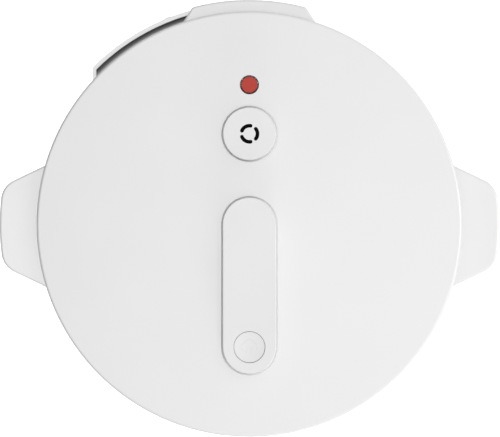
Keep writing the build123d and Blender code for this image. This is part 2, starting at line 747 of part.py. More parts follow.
# -------------------------------------------------------------------------------------- lid: shells
def dome_solid(drop, radius, edge_fillet, z0):
    """The lid cover's outer form as a solid down to z0, lowered by drop."""
    top, edge, half = DOME_TOP - drop, dome_z(radius) - drop, radius / 2
    arc = ThreePointArc((0, top), (half, dome_z(half) - drop), (radius, edge))
    rest = Polyline([(radius, edge), (radius, z0), (0, z0), (0, top)])
    solid = revolve(Plane.XZ * make_face(Curve() + [arc, rest]), Axis.Z, 360)
    return fillet(level_circles(solid, edge, radius), edge_fillet)


def make_lid_cover():
    """The white top: a shallow soft-edged dome, four screw bosses and holes for what passes through."""
    cover = dome_solid(0, LID_R, COVER_FILLET, COVER_Z0)
    cover -= dome_solid(COVER_T, LID_R - COVER_T, 0.8, COVER_Z0 - 1)
    lip_in, lip_out = 134.4, 136.9
    cover += tube(lip_in, lip_out, COVER_Z0 - 4.5, COVER_Z0 + 4.0)
    cover += tube(lip_in, LID_R - 1.0, COVER_Z0, COVER_Z0 + 1.6)
    boss = disc(4.0, STEEL_TOP + GAP, DOME_TOP - 5, LID_BOSS_R)
    cover = joined(cover, around(boss, LID_BOSS_ANGLES))
    cover = without(cover, around(disc(1.5, STEEL_Z, DOME_TOP - 17, LID_BOSS_R), LID_BOSS_ANGLES))
    cover += tube(FLOAT_HOLE_R, FLOAT_HOLE_R + 2, 226.0, dome_z(FLOAT_Y) - 1, 0, FLOAT_Y)
    cover -= disc(FLOAT_HOLE_R, 210, 250, 0, FLOAT_Y)
    cover -= disc(WEIGHT_R + 1, 210, 250, 0, VALVE_Y)
    cover -= disc(3.6, 210, 250, 0, HANDLE_FRONT_Y)
    for y in HANDLE_SCREW_YS:
        cover -= disc(1.6, 230, 250, 0, y)
    return cover


def make_lid_ring():
    """The white band under the cover: a flange that clamps the steel lid, and the hollow rear tab."""
    band = tube(137.2, LID_R - 0.2, BAND_Z0, COVER_Z0 - SEAM)
    band += tube(118.0, 138.0, BAND_Z0, BAND_Z0 + 2.2)
    tab = tab_block(TAB_Z0, TAB_TOP)
    tab = fillet([e for e in level_edges(tab, TAB_TOP) if e.bounding_box().max.Y > 141], TAB_TOP_ROUND)
    tab -= disc(138.5, TAB_Z0 - 1, TAB_TOP + 1)
    pocket = tab_block(TAB_Z0 + 2, TAB_TOP - 2, inset=2.2) - disc(139.0, TAB_Z0, TAB_TOP)
    band += tab - pocket
    band -= block(-3.6, 3.6, 128.0, PIN_Y + 3.3, BAND_Z0 - 1, 222.0)
    return without(band, around(disc(1.6, BAND_Z0 - 1, BAND_Z0 + 4, RING_SCREW_R), RING_SCREW_ANGLES))


def make_steel_lid():
    """The pressure-bearing disc. Its skirt carries the inward teeth that lock under the outer pot's."""
    inner = SKIRT_R - STEEL_T
    shell = turned([
        (0, STEEL_Z),
        (inner, STEEL_Z),
        (inner, LID_TOOTH_Z),
        (SKIRT_R, LID_TOOTH_Z),
        (SKIRT_R, STEEL_TOP),
        (0, STEEL_TOP),
    ])
    shell = fillet(level_circles(shell, STEEL_TOP, SKIRT_R), 1.6)
    half = TOOTH_ANGLE / 2
    tooth = sector(LID_TOOTH_R, inner + 0.4, -half, half, LID_TOOTH_Z, LID_TOOTH_Z + TOOTH_H)
    shell = joined(shell, around(tooth, [i * 360 / TEETH for i in range(TEETH)]))
    z0, z1 = STEEL_Z - 1, STEEL_TOP + 1
    shell -= disc(PIPE_R + GAP, z0, z1, 0, VALVE_Y)
    shell -= disc(2.6, z0, z1, 0, FLOAT_Y)
    shell = without(shell, around(disc(1.6, z0, z1, LID_BOSS_R), LID_BOSS_ANGLES))
    return without(shell, around(disc(1.6, z0, z1, RING_SCREW_R), RING_SCREW_ANGLES))


def make_seal_retainer():
    """The pressed ring that holds the sealing ring out against the pot's rim."""
    top, inner = STEEL_Z - GAP, 98.0
    return turned([
        (inner, 202.0),
        (111.5, 202.0),
        (111.5, top),
        (110.3, top),
        (110.3, 203.2),
        (inner, 203.2),
    ])


def make_sealing_ring():
    """A silicone U-ring between the pot's rim and the steel lid. Its lips open towards the pressure."""
    z0, z1 = POT_RIM_TOP + GAP, STEEL_Z - GAP
    return turned([
        (112.0, z0),
        (120.5, z0),
        (121.4, z0 + 1.9),
        (121.4, z1 - 1.7),
        (120.5, z1),
        (112.0, z1),
        (112.0, z1 - 1.3),
        (118.6, z1 - 1.9),
        (118.6, z0 + 2.1),
        (112.0, z0 + 1.5),
    ])


def make_lid_screws():
    """Four screws up into the cover's bosses, and six down through the ring's flange."""
    bosses = around(screw(LID_BOSS_R, 0, STEEL_Z - GAP, 14.0, -1), LID_BOSS_ANGLES)
    return bosses + around(screw(RING_SCREW_R, 0, BAND_Z0 + 2.3, 5.6, 1), RING_SCREW_ANGLES)


def make_handle():
    """The grip: a hollow pill that sits on the dome, with a guide sleeve for the release button."""
    grip = stadium(HANDLE_FOOT_R, HANDLE_FRONT_Y, HANDLE_REAR_Y, 236, HANDLE_TOP, HANDLE_DRAFT)
    grip = fillet(level_edges(grip, HANDLE_TOP), TOP_EDGE_ROUND)
    ceiling = HANDLE_TOP - HANDLE_WALL
    grip -= stadium(HANDLE_R - HANDLE_WALL, HANDLE_FRONT_Y, HANDLE_REAR_Y, 235, ceiling)
    bore = BUTTON_R + BUTTON_SEAM
    grip += tube(bore, bore + 2, 250.0, ceiling + 0.6, 0, HANDLE_FRONT_Y)
    grip -= disc(bore, 230, 270, 0, HANDLE_FRONT_Y)
    grip = fillet(level_circles(grip, HANDLE_TOP, bore), BUTTON_EDGE_ROUND)
    for y in HANDLE_SCREW_YS:
        grip += disc(4.0, 238.0, ceiling + 0.6, 0, y) - disc(1.5, 236.0, HANDLE_TOP - 6, 0, y)
    return grip - dome_solid(-GAP, LID_R + 20, 1.0, 230.0)


def make_handle_screws():
    return [screw(0, y, dome_z(abs(y)) - COVER_T - 0.5, 12.0, -1) for y in HANDLE_SCREW_YS]


# ------------------------------------------------------------------------------- lid: steam release
def steam_slots(z0, z1):
    """Three arc slots with round ends, centred on bearings 0, 120 and 240."""
    inner, outer, half = SLOT_RING_R - SLOT_W / 2, SLOT_RING_R + SLOT_W / 2, SLOT_SPAN / 2
    slots = []
    for middle in (0, 120, 240):
        slot = sector(inner, outer, middle - half, middle + half, z0, z1)
        for end in (middle - half, middle + half):
            slot += disc(SLOT_W / 2, z0, z1, *polar(SLOT_RING_R, end))
        slots.append(Pos(0, VALVE_Y, 0) * slot)
    return slots


def make_valve_cap():
    """The cap over the weight. It moves with the weight, and steam leaves through its three slots."""
    ceiling = VALVE_TOP - 2.4
    height = VALVE_TOP - VALVE_Z0
    cap = Pos(0, VALVE_Y, VALVE_Z0 + height / 2) * Cone(VALVE_R, VALVE_TOP_R, height)
    cap = fillet(level_circles(cap, VALVE_TOP, VALVE_TOP_R), TOP_EDGE_ROUND)
    cap -= disc(VALVE_R - 2.2, VALVE_Z0 - 1, ceiling, 0, VALVE_Y)
    cap += disc(3.5, WEIGHT_TOP + GAP, ceiling + 0.4, 0, VALVE_Y)
    return without(cap, steam_slots(ceiling - 3, VALVE_TOP + 1))


def make_valve_weight():
    """The steel weight whose needle closes the steam pipe. The lever lifts it by its shoulder."""
    weight = disc(WEIGHT_R, WEIGHT_SHOULDER_Z, WEIGHT_TOP, 0, VALVE_Y)
    weight += disc(WEIGHT_NECK_R, 214.0, WEIGHT_SHOULDER_Z, 0, VALVE_Y)
    weight -= disc(PIPE_R + 0.3, 213.0, PIPE_TOP + 2.1, 0, VALVE_Y)
    needle_h = 4.0
    weight += Pos(0, VALVE_Y, PIPE_TOP + 0.45) * Cone(1.9, 3.2, needle_h)
    for angle in (0, 60, 120):
        weight -= Pos(0, VALVE_Y, PIPE_TOP + 1.0) * Rot(0, 0, angle) * Rot(0, 90, 0) * Cylinder(0.8, 30)
    return weight


def make_steam_pipe():
    z0 = 203.5
    flange = tube(PIPE_BORE_R, 8.0, z0, STEEL_Z - GAP, 0, VALVE_Y)
    return flange + tube(PIPE_BORE_R, PIPE_R, z0, PIPE_TOP, 0, VALVE_Y)


def make_pipe_nut():
    nut = Pos(0, VALVE_Y, STEEL_TOP + GAP) * extrude(RegularPolygon(8.0, 6), 4.0)
    return nut - disc(PIPE_R + 0.05, STEEL_Z, 220, 0, VALVE_Y)


def make_steam_guide():
    """A sleeve that leads steam up to the cap, cut away at the front for the lever's fork."""
    inner, outer = WEIGHT_R + 1.2, WEIGHT_R + 2.6
    sleeve = tube(inner, outer, STEEL_TOP + GAP, 238.4, 0, VALVE_Y)
    return sleeve - block(-11.8, 11.8, VALVE_Y - 20, VALVE_Y, 213.0, 229.0)


def make_block_shield():
    """A slotted cup that keeps food away from the steam pipe's mouth."""
    z0, z1, outer, inner = 192.0, 203.3, 11.5, 10.5
    cup = disc(outer, z0, z1, 0, VALVE_Y) - disc(inner, z0 + 1, z1 + 1, 0, VALVE_Y)
    for angle in range(0, 180, 30):
        cup -= Pos(0, VALVE_Y, z0 + 6) * Rot(0, 0, angle) * Box(40, 1.6, 6)
    return cup + tube(8.3, outer, z1, STEEL_Z - GAP, 0, VALVE_Y)


def make_release_button():
    """A round button with a dished top, on a stem that reaches down to the lever."""
    dish_r, dish_depth, stem_r = 120.0, 0.5, 3.0
    button = disc(BUTTON_R, BUTTON_Z0, BUTTON_TOP, 0, HANDLE_FRONT_Y)
    button = fillet(level_circles(button, BUTTON_TOP, BUTTON_R), BUTTON_EDGE_ROUND)
    button -= Pos(0, HANDLE_FRONT_Y, BUTTON_TOP - dish_depth + dish_r) * Sphere(dish_r)
    return button + disc(stem_r, LEVER_Z + LEVER_H + 0.5, BUTTON_Z0, 0, HANDLE_FRONT_Y)


def make_button_spring():
    z0 = dome_z(-HANDLE_FRONT_Y) + 0.4
    return Pos(0, HANDLE_FRONT_Y, z0) * coil(5.2, 0.5, BUTTON_Z0 - 0.2 - z0, 6)


def make_release_lever():
    """A rocker. The button pushes its front end down, and its rear fork lifts the weight's shoulder."""
    half_w, fork_in, fork_out = 5.0, 7.9, 10.6
    fork_top = WEIGHT_SHOULDER_Z - 0.4
    lever = block(-half_w, half_w, HANDLE_FRONT_Y - 5, VALVE_Y - 14.5, LEVER_Z, LEVER_Z + LEVER_H)
    lever += along_x(4.0, -half_w, half_w, LEVER_Y, LEVER_Z)
    lever += block(-fork_out, fork_out, VALVE_Y - 18, VALVE_Y - 14, LEVER_Z + 0.6, LEVER_Z + 4.0)
    for side in (-1, 1):
        x0, x1 = sorted((side * fork_in, side * fork_out))
        lever += block(x0, x1, VALVE_Y - 16, VALVE_Y + 4, fork_top - LEVER_H, fork_top)
    return lever - along_x(1.5 + 0.06, -8, 8, LEVER_Y, LEVER_Z)


def make_lever_bracket():
    z0, inner, outer = STEEL_TOP + GAP, 5.4, 7.4
    bracket = block(-12, 12, LEVER_Y - 7, LEVER_Y + 7, z0, z0 + 1.5)
    for side in (-1, 1):
        x0, x1 = sorted((side * inner, side * outer))
        bracket += block(x0, x1, LEVER_Y - 5, LEVER_Y + 5, z0, LEVER_Z + 4)
    return bracket - along_x(1.5 + 0.02, -10, 10, LEVER_Y, LEVER_Z)


def make_lever_pin():
    return along_x(1.5, -8.6, 8.6, LEVER_Y, LEVER_Z) + along_x(2.6, -9.6, -8.6, LEVER_Y, LEVER_Z)


# ------------------------------------------------------------------- lid: float valve and interlock
def make_float_pin():
    """The red float: a cap seen in the lid, a neck that the lock rod's fork enters, a collar and a stem."""
    neck_z, collar_z0, stem_z0 = 217.0, 213.0, 199.4
    top = dome_z(FLOAT_Y) - 0.3
    pin = disc(FLOAT_R, neck_z + 7, top, 0, FLOAT_Y)
    pin = fillet(level_circles(pin, top, FLOAT_R), 0.5)
    pin += disc(3.2, neck_z, neck_z + 7, 0, FLOAT_Y)
    pin += disc(FLOAT_R, collar_z0, neck_z, 0, FLOAT_Y)
    return pin + disc(2.2, stem_z0, collar_z0, 0, FLOAT_Y)


def make_float_washer():
    return tube(2.25, 4.6, 199.9, STEEL_Z - FLOAT_TRAVEL - 0.05, 0, FLOAT_Y)


def make_lock_rod():
    """A flat slide. Its fork bars the float while the lid is unlocked. Its tail pin hangs in the trough."""
    z0, z1, half_w = ROD_Z - ROD_HALF_H, ROD_Z + ROD_HALF_H, 3.0
    fork_in, fork_out, fork_y = 3.6, 5.6, FLOAT_Y + 6.6
    rod = block(-half_w, half_w, FLOAT_Y + 13, PIN_Y + PIN_R, z0, z1)
    rod += block(-fork_out, fork_out, FLOAT_Y + 12, FLOAT_Y + 15, z0, z1)
    for side in (-1, 1):
        x0, x1 = sorted((side * fork_in, side * fork_out))
        rod += block(x0, x1, fork_y, FLOAT_Y + 13, z0, z1)
    rod += disc(PIN_R, TROUGH_FLOOR + 1.6, z1, 0, PIN_Y)
    return rod + along_y(4.6, 125.0, 126.2, 0, ROD_Z)


def make_lock_spring():
    """The spring round the lock rod that keeps its pin out against the cam."""
    return Pos(0, 115.1, ROD_Z) * Rot(-90, 0, 0) * coil(4.1, 0.4, 9.8, 5)


def make_lock_guide():
    """A bridge on the steel lid that the lock rod slides through."""
    guide = block(-6.0, 6.0, 111.5, 115.0, STEEL_TOP + GAP, 222.5)
    clear = 0.15
    half_w, half_h = 3 + clear, ROD_HALF_H + clear
    return guide - block(-half_w, half_w, 110, 117, ROD_Z - half_h, ROD_Z + half_h)


def make_lid_magnet():
    """The magnet in the tab that tells the reed switch that the lid is locked."""
    return disc(2.4, TAB_Z0 + 2.1, TAB_Z0 + 5.1, 20.0, 141.2)


# ---------------------------------------------------------------------------------------- the model
MAKERS = (
    make_housing, make_left_ear, make_right_ear, make_ear_screws, make_upper_ring, make_cup_holder,
    make_condensate_cup, make_bottom_cover, make_foot_ring, make_bottom_screws,
    make_outer_pot, make_inner_pot, make_heating_plate, make_heating_tube, make_insulation_band,
    make_support_posts, make_pressure_switch, make_thermal_fuse, make_temperature_sensor,
    make_sensor_spring, make_sensor_bracket,
    make_power_board, make_board_components, make_power_inlet, make_inlet_pins, make_reed_switch,
    make_control_panel, make_display_lens, make_display_module, make_control_board, make_tact_switches,
    make_knob_encoder, make_control_knob, make_start_key, make_cancel_key,
    make_lid_cover, make_lid_ring, make_steel_lid, make_seal_retainer, make_sealing_ring, make_lid_screws,
    make_handle, make_handle_screws,
    make_valve_cap, make_valve_weight, make_steam_pipe, make_pipe_nut, make_steam_guide, make_block_shield,
    make_release_button, make_button_spring, make_release_lever, make_lever_bracket, make_lever_pin,
    make_float_pin, make_float_washer, make_lock_rod, make_lock_spring, make_lock_guide, make_lid_magnet,
)


def solids_of(made):
    """Every solid in a shape or in a list of shapes."""
    shapes = made if isinstance(made, list) else [made]
    return [solid for shape in shapes for solid in shape.solids()]


os.makedirs("parts", exist_ok=True)
for maker in MAKERS:
    solids = solids_of(maker())
    piece = solids[0] if len(solids) == 1 else Compound(children=solids)
    export_step(piece, "parts/" + maker.__name__.removeprefix("make_") + ".step")
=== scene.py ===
import json
import math

import bmesh
import bpy
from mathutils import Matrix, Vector


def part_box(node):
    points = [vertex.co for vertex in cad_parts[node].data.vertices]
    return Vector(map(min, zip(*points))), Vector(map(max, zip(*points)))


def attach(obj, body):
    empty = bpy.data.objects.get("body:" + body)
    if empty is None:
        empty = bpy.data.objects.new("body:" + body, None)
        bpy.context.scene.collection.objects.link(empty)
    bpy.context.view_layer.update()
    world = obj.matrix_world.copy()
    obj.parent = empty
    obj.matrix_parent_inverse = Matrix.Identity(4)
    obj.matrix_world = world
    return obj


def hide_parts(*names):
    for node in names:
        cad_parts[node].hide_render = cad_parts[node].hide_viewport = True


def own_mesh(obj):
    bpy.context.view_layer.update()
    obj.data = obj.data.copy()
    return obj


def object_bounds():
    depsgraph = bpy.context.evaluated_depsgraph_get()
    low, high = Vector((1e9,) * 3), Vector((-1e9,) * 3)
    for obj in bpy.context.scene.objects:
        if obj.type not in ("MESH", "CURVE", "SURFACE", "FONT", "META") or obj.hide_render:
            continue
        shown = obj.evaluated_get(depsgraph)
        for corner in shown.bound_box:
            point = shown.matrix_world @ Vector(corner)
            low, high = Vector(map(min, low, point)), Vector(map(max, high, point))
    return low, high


# Looks for the electric pressure cooker, in the frame's own axes: +Z is up and -Y is the front.
# Lengths are in metres unless a comment says millimetres.

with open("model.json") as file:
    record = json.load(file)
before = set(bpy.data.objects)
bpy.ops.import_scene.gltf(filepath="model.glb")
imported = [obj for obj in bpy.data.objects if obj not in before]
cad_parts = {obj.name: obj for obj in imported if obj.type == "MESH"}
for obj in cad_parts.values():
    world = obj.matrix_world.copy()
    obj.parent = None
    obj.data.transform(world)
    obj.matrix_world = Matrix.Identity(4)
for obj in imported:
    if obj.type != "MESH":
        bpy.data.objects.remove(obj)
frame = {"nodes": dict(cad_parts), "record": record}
cad_low, cad_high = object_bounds()
NODES = frame["nodes"]
MM = 0.001


# ---------------------------------------------------------------------------------------- shader nodes
def new_material(name):
    """A material with a Principled shader, and the Look that adds the nodes feeding it."""
    material = bpy.data.materials.new(name)
    material.use_nodes = True
    return material, Look(material.node_tree)


class Look:
    """Adds nodes to a material's tree and links them, with short names for the ones used most."""

    def __init__(self, tree):
        self.tree = tree
        self.shader = tree.nodes["Principled BSDF"]
        self.place = tree.nodes.new("ShaderNodeTexCoord").outputs["Object"]

    def node(self, kind, inputs=None, **settings):
        """Adds a node, feeds its inputs and sets its properties."""
        made = self.tree.nodes.new(kind)
        for key, value in settings.items():
            setattr(made, key, value)
        for key, value in (inputs or {}).items():
            self.feed(made.inputs[key], value)
        return made

    def feed(self, socket, value):
        """Gives an input a value, or the output of another node."""
        if isinstance(value, bpy.types.NodeSocket):
            self.tree.links.new(value, socket)
        else:
            socket.default_value = value

    def set(self, name, value):
        """Feeds one input of the Principled shader."""
        self.feed(self.shader.inputs[name], value)

    def noise(self, scale, detail=2.0, place=None):
        """Noise whose features are about 1 / scale metres wide."""
        inputs = {"Vector": place or self.place, "Scale": scale, "Detail": detail}
        return self.node("ShaderNodeTexNoise", inputs).outputs["Fac"]

    def remap(self, value, low, high, from_low=0.0, from_high=1.0):
        """Carries a value from one range to another, and stops at the ends."""
        inputs = {"From Min": from_low, "From Max": from_high, "To Min": low, "To Max": high}
        return self.node("ShaderNodeMapRange", {"Value": value, **inputs}).outputs["Result"]

    def mix(self, factor, first, second):
        """A colour between two others: inputs 6 and 7 of the mix node, whose result is its output 2."""
        made = self.node("ShaderNodeMix", data_type="RGBA")
        for index, value in ((0, factor), (6, first), (7, second)):
            self.feed(made.inputs[index], value)
        return made.outputs[2]

    def shade(self, colour, factor, amount):
        """A colour that varies by amount, up and down, with factor."""
        dark = [c * (1 - amount) for c in colour[:3]] + [1]
        light = [min(1.0, c * (1 + amount)) for c in colour[:3]] + [1]
        return self.mix(factor, dark, light)

    def bounce(self, colour, share):
        """The colour as seen, and only a share of it for light on its way to another surface."""
        passing = self.node("ShaderNodeLightPath").outputs["Is Diffuse Ray"]
        return self.mix(self.math("MULTIPLY", passing, 1 - share), colour, [0, 0, 0, 1])

    def math(self, operation, first, second=0.0):
        """The result of one sum on one or two values."""
        made = self.node("ShaderNodeMath", operation=operation)
        self.feed(made.inputs[0], first)
        self.feed(made.inputs[1], second)
        return made.outputs[0]

    def length(self, first, second):
        """How far a point with these two coordinates is from their origin."""
        squares = [self.math("MULTIPLY", side, side) for side in (first, second)]
        return self.math("SQRT", self.math("ADD", *squares))

    def bump(self, height, strength, distance, below=None):
        """The normal of a surface with relief on it, over the normal below where there is one."""
        inputs = {"Height": height, "Strength": strength, "Distance": distance}
        if below is not None:
            inputs["Normal"] = below
        return self.node("ShaderNodeBump", inputs).outputs["Normal"]

    def soft_edge(self, radius):
        """The normal with sharp edges rounded off, as a mould or a deburring tool leaves them."""
        return self.node("ShaderNodeBevel", {"Radius": radius}, samples=4).outputs["Normal"]

    def split(self):
        """The point's own x, y and z."""
        return self.node("ShaderNodeSeparateXYZ", {"Vector": self.place}).outputs

    def join(self, x=0.0, y=0.0, z=0.0):
        """A vector with these three parts."""
        return self.node("ShaderNodeCombineXYZ", {"X": x, "Y": y, "Z": z}).outputs[0]


# ------------------------------------------------------------------------------------------- materials
def moulded_plastic(name, colour, rough, grain=0.06, gloss=0.5, mottle=0.012, bounce=1.0):
    """Injection-moulded plastic: a fine spark-eroded grain, and a gloss that drifts over the surface."""
    material, look = new_material(name)
    drift = look.noise(9.0, 3.0)
    look.set("Base Color", look.bounce(look.shade(colour, drift, mottle), bounce))
    fine, finer = look.noise(1500.0, 2.0), look.noise(3800.0, 1.0)
    patch = look.remap(look.noise(28.0, 4.0), rough - 0.035, rough + 0.035, 0.3, 0.7)
    look.set("Roughness", look.math("ADD", patch, look.remap(fine, -0.02, 0.02)))
    look.set("Specular IOR Level", gloss)
    grain_height = look.math("ADD", fine, look.math("MULTIPLY", finer, 0.5))
    look.set("Normal", look.bump(grain_height, grain, 0.04 * MM, look.soft_edge(0.3 * MM)))
    return material


def gloss_plastic(name, colour, rough=0.08, coat=0.6):
    """Polished plastic with faint moulding waves, a clear top surface and wiped, patchy gloss."""
    material, look = new_material(name)
    look.set("Base Color", look.shade(colour, look.noise(14.0, 2.0), 0.05))
    smear = look.noise(45.0, 5.0)
    look.set("Roughness", look.remap(smear, rough * 0.7, rough * 1.6, 0.35, 0.7))
    look.set("Coat Weight", coat)
    look.set("Coat Roughness", 0.04)
    look.set("Normal", look.bump(look.noise(60.0, 1.0), 0.08, 0.05 * MM))
    return material


def brushed_metal(name, colour, rough, spun=True):
    """Brushed metal, with lines that run round the Z axis if it is spun, and along it if it is drawn."""
    material, look = new_material(name)
    x, y, z = look.split()
    if spun:
        radius = look.length(x, y)
        lines = look.join(look.math("MULTIPLY", radius, 2600.0), look.math("MULTIPLY", z, 2600.0))
    else:
        across = [look.math("MULTIPLY", side, 2200.0) for side in (x, y)]
        lines = look.join(*across, look.math("MULTIPLY", z, 60.0))
    streak = look.noise(1.0, 3.0, lines)
    look.set("Base Color", look.shade(colour, streak, 0.07))
    look.set("Metallic", 1.0)
    worn = look.remap(look.noise(30.0, 4.0), -0.05, 0.06, 0.3, 0.7)
    look.set("Roughness", look.math("ADD", look.remap(streak, rough - 0.06, rough + 0.08, 0.3, 0.7), worn))
    look.set("Anisotropic", 0.5)
    look.set("Normal", look.bump(streak, 0.12, 0.03 * MM))
    return material


def cast_metal(name, colour, rough):
    """Cast or plated metal with a fine pitted skin."""
    material, look = new_material(name)
    pits = look.node("ShaderNodeTexVoronoi", {"Vector": look.place, "Scale": 900.0}).outputs["Distance"]
    cloud = look.noise(120.0, 5.0)
    look.set("Base Color", look.shade(colour, cloud, 0.08))
    look.set("Metallic", 1.0)
    look.set("Roughness", look.remap(cloud, rough - 0.07, rough + 0.1, 0.3, 0.7))
    look.set("Normal", look.bump(pits, 0.18, 0.05 * MM))
    return material


def non_stick(name, colour):
    """A sprayed coating: orange-peel texture with fine pale speckles."""
    material, look = new_material(name)
    cells = look.node("ShaderNodeTexVoronoi", {"Vector": look.place, "Scale": 420.0}).outputs["Distance"]
    speck = look.remap(cells, 1.0, 0.0, 0.06, 0.13)
    look.set("Base Color", look.mix(speck, [*colour, 1], [0.36, 0.36, 0.37, 1]))
    look.set("Metallic", 0.25)
    look.set("Roughness", look.remap(look.noise(60.0, 4.0), 0.3, 0.42, 0.3, 0.7))
    look.set("Normal", look.bump(look.noise(700.0, 2.0), 0.2, 0.05 * MM))
    return material


def soft_rubber(name, colour, rough, translucent=0.0):
    """Silicone or rubber: a dull, powdery skin and, for silicone, light that passes under it."""
    material, look = new_material(name)
    look.set("Base Color", look.shade(colour, look.noise(80.0, 5.0), 0.05))
    look.set("Roughness", look.remap(look.noise(150.0, 3.0), rough - 0.08, rough + 0.08, 0.3, 0.7))
    look.set("Subsurface Weight", translucent)
    look.set("Subsurface Radius", (3 * MM, 3 * MM, 2.6 * MM))
    look.set("Sheen Weight", 0.15)
    look.set("Normal", look.bump(look.noise(1100.0, 2.0), 0.15, 0.04 * MM))
    return material


def clear_plastic(name, tint, rough, clear):
    """Tinted see-through plastic with faint flow marks."""
    material, look = new_material(name)
    look.set("Base Color", look.shade(tint, look.noise(40.0, 3.0), 0.03))
    look.set("Transmission Weight", clear)
    look.set("IOR", 1.49)
    look.set("Roughness", look.remap(look.noise(90.0, 4.0), rough, rough * 2.2, 0.35, 0.7))
    look.set("Normal", look.bump(look.noise(70.0, 2.0), 0.05, 0.05 * MM))
    return material


def circuit_board(name):
    """Green solder mask with copper tracks showing through and pale printed marks."""
    material, look = new_material(name)
    tracks = look.node("ShaderNodeTexBrick", {"Vector": look.place, "Scale": 260.0, "Mortar Size": 0.09})
    pads = look.node("ShaderNodeTexVoronoi", {"Vector": look.place, "Scale": 310.0}).outputs["Distance"]
    green, track, pad = [0.012, 0.11, 0.045, 1], [0.02, 0.17, 0.07, 1], [0.55, 0.5, 0.42, 1]
    base = look.mix(tracks.outputs["Fac"], green, track)
    look.set("Base Color", look.mix(look.remap(pads, 1.0, 0.0, 0.08, 0.12), base, pad))
    look.set("Roughness", look.remap(look.noise(200.0, 3.0), 0.28, 0.45, 0.3, 0.7))
    look.set("Normal", look.bump(tracks.outputs["Fac"], 0.3, 0.04 * MM))
    return material


def woven_blanket(name, colour):
    """Woven glass-fibre blanket: two crossed sets of threads round the pot."""
    material, look = new_material(name)
    x, y, z = look.split()
    bearing = look.math("ARCTAN2", y, x)
    warp = look.math("SINE", look.math("MULTIPLY", bearing, 520.0))
    weft = look.math("SINE", look.math("MULTIPLY", z, 4200.0))
    weave = look.math("MULTIPLY", warp, weft)
    look.set("Base Color", look.shade(colour, look.remap(weave, 0.0, 1.0, -1.0, 1.0), 0.14))
    look.set("Roughness", look.remap(look.noise(400.0, 3.0), 0.8, 0.95))
    look.set("Sheen Weight", 0.3)
    look.set("Normal", look.bump(weave, 0.5, 0.2 * MM))
    return material


def glowing(name, colour, power):
    """A lit display segment, a little uneven along its length."""
    material, look = new_material(name)
    look.set("Base Color", [*colour, 1])
    look.set("Emission Color", look.shade(colour, look.noise(500.0, 1.0), 0.12))
    look.set("Emission Strength", power)
    look.set("Roughness", 0.4)
    return material


def centre(node):
    """The middle of a CAD node's box."""
    low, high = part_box(node)
    return (low + high) / 2


WHITE = (0.805, 0.804, 0.803)
FITTING_WHITE = (0.777, 0.776, 0.775)
RED = (0.475, 0.045, 0.026)
LINER_BLACK = (0.055, 0.056, 0.058)

# One material for each slot of the record. Those added further down dress single nodes and added pieces.
MATERIALS = {
    "white_plastic": moulded_plastic("white_plastic", WHITE, rough=0.42),
    "white_gloss": gloss_plastic("white_gloss", (0.8, 0.8, 0.81), rough=0.14, coat=0.3),
    "dark_plastic": moulded_plastic(
        "dark_plastic", (0.045, 0.046, 0.048), rough=0.36, grain=0.12, mottle=0.1),
    "black_gloss": gloss_plastic("black_gloss", (0.006, 0.006, 0.007)),
    "display_glass": clear_plastic("display_glass", (0.30, 0.32, 0.34), rough=0.01, clear=0.95),
    "steel": brushed_metal("steel", (0.62, 0.62, 0.63), rough=0.26),
    "fastener_steel": cast_metal("fastener_steel", (0.56, 0.56, 0.58), rough=0.34),
    "spring_steel": brushed_metal("spring_steel", (0.45, 0.45, 0.47), rough=0.3, spun=False),
    "aluminium": brushed_metal("aluminium", (0.70, 0.70, 0.72), rough=0.34),
    "nonstick": non_stick("nonstick", (0.035, 0.035, 0.037)),
    "silicone": soft_rubber("silicone", (0.72, 0.72, 0.69), rough=0.45, translucent=0.4),
    "black_rubber": soft_rubber("black_rubber", (0.018, 0.018, 0.018), rough=0.7),
    "red_plastic": moulded_plastic("red_plastic", RED, rough=0.4, grain=0.1, gloss=0.2, mottle=0.06),
    "translucent_plastic": clear_plastic("translucent_plastic", (0.72, 0.75, 0.77), rough=0.3, clear=0.45),
    "circuit_board": circuit_board("circuit_board"),
    "component_plastic": moulded_plastic(
        "component_plastic", (0.025, 0.025, 0.027), rough=0.5, grain=0.2, mottle=0.12),
    "insulation": woven_blanket("insulation", (0.66, 0.62, 0.54)),
    "brass": cast_metal("brass", (0.72, 0.50, 0.20), rough=0.28),
    "magnet": cast_metal("magnet", (0.66, 0.66, 0.68), rough=0.18),
}


def drip_liner(name):
    """The dark ring: black plastic, with a painted reflection of the lid's white edge as a grey band behind
    its rear edge.
    """
    material = moulded_plastic(name, LINER_BLACK, rough=0.38, grain=0.12, mottle=0.1)
    look = Look(material.node_tree)
    x, y, z = look.split()
    near_lid = look.remap(look.length(x, y), 1.0, 0.0, 139.4 * MM, 142.6 * MM)
    near_top = look.remap(z, 0.0, 1.0, 196.0 * MM, 200.0 * MM)
    near_rear = look.remap(y, 0.0, 1.0, 60 * MM, 70 * MM)
    # painted reflection: grey next to the lid's rear edge, fading to black outwards
    painted_reflection = look.math("MULTIPLY", look.math("MULTIPLY", near_lid, near_top), near_rear)
    look.set("Base Color", look.mix(painted_reflection, [*LINER_BLACK, 1], [0.36, 0.36, 0.37, 1]))
    return material


def float_painted_shade(name):
    """The float pin: red plastic, with painted shade round the edge of its head, for the gap's shadow
    there.
    """
    material = moulded_plastic(name, RED, rough=0.4, grain=0.1, gloss=0.2, mottle=0.06)
    look = Look(material.node_tree)
    x, y, _z = look.split()
    middle = centre("float_pin")
    radius = look.length(look.math("SUBTRACT", x, middle.x), look.math("SUBTRACT", y, middle.y))
    painted_gap_shade = look.remap(radius, 0.0, 1.0, 5.15 * MM, 5.35 * MM)
    # painted shade: dark at the head's edge, where the gap round the pin lies in shadow
    look.set("Base Color", look.mix(painted_gap_shade, [*RED, 1], [0.03, 0.014, 0.012, 1]))
    return material
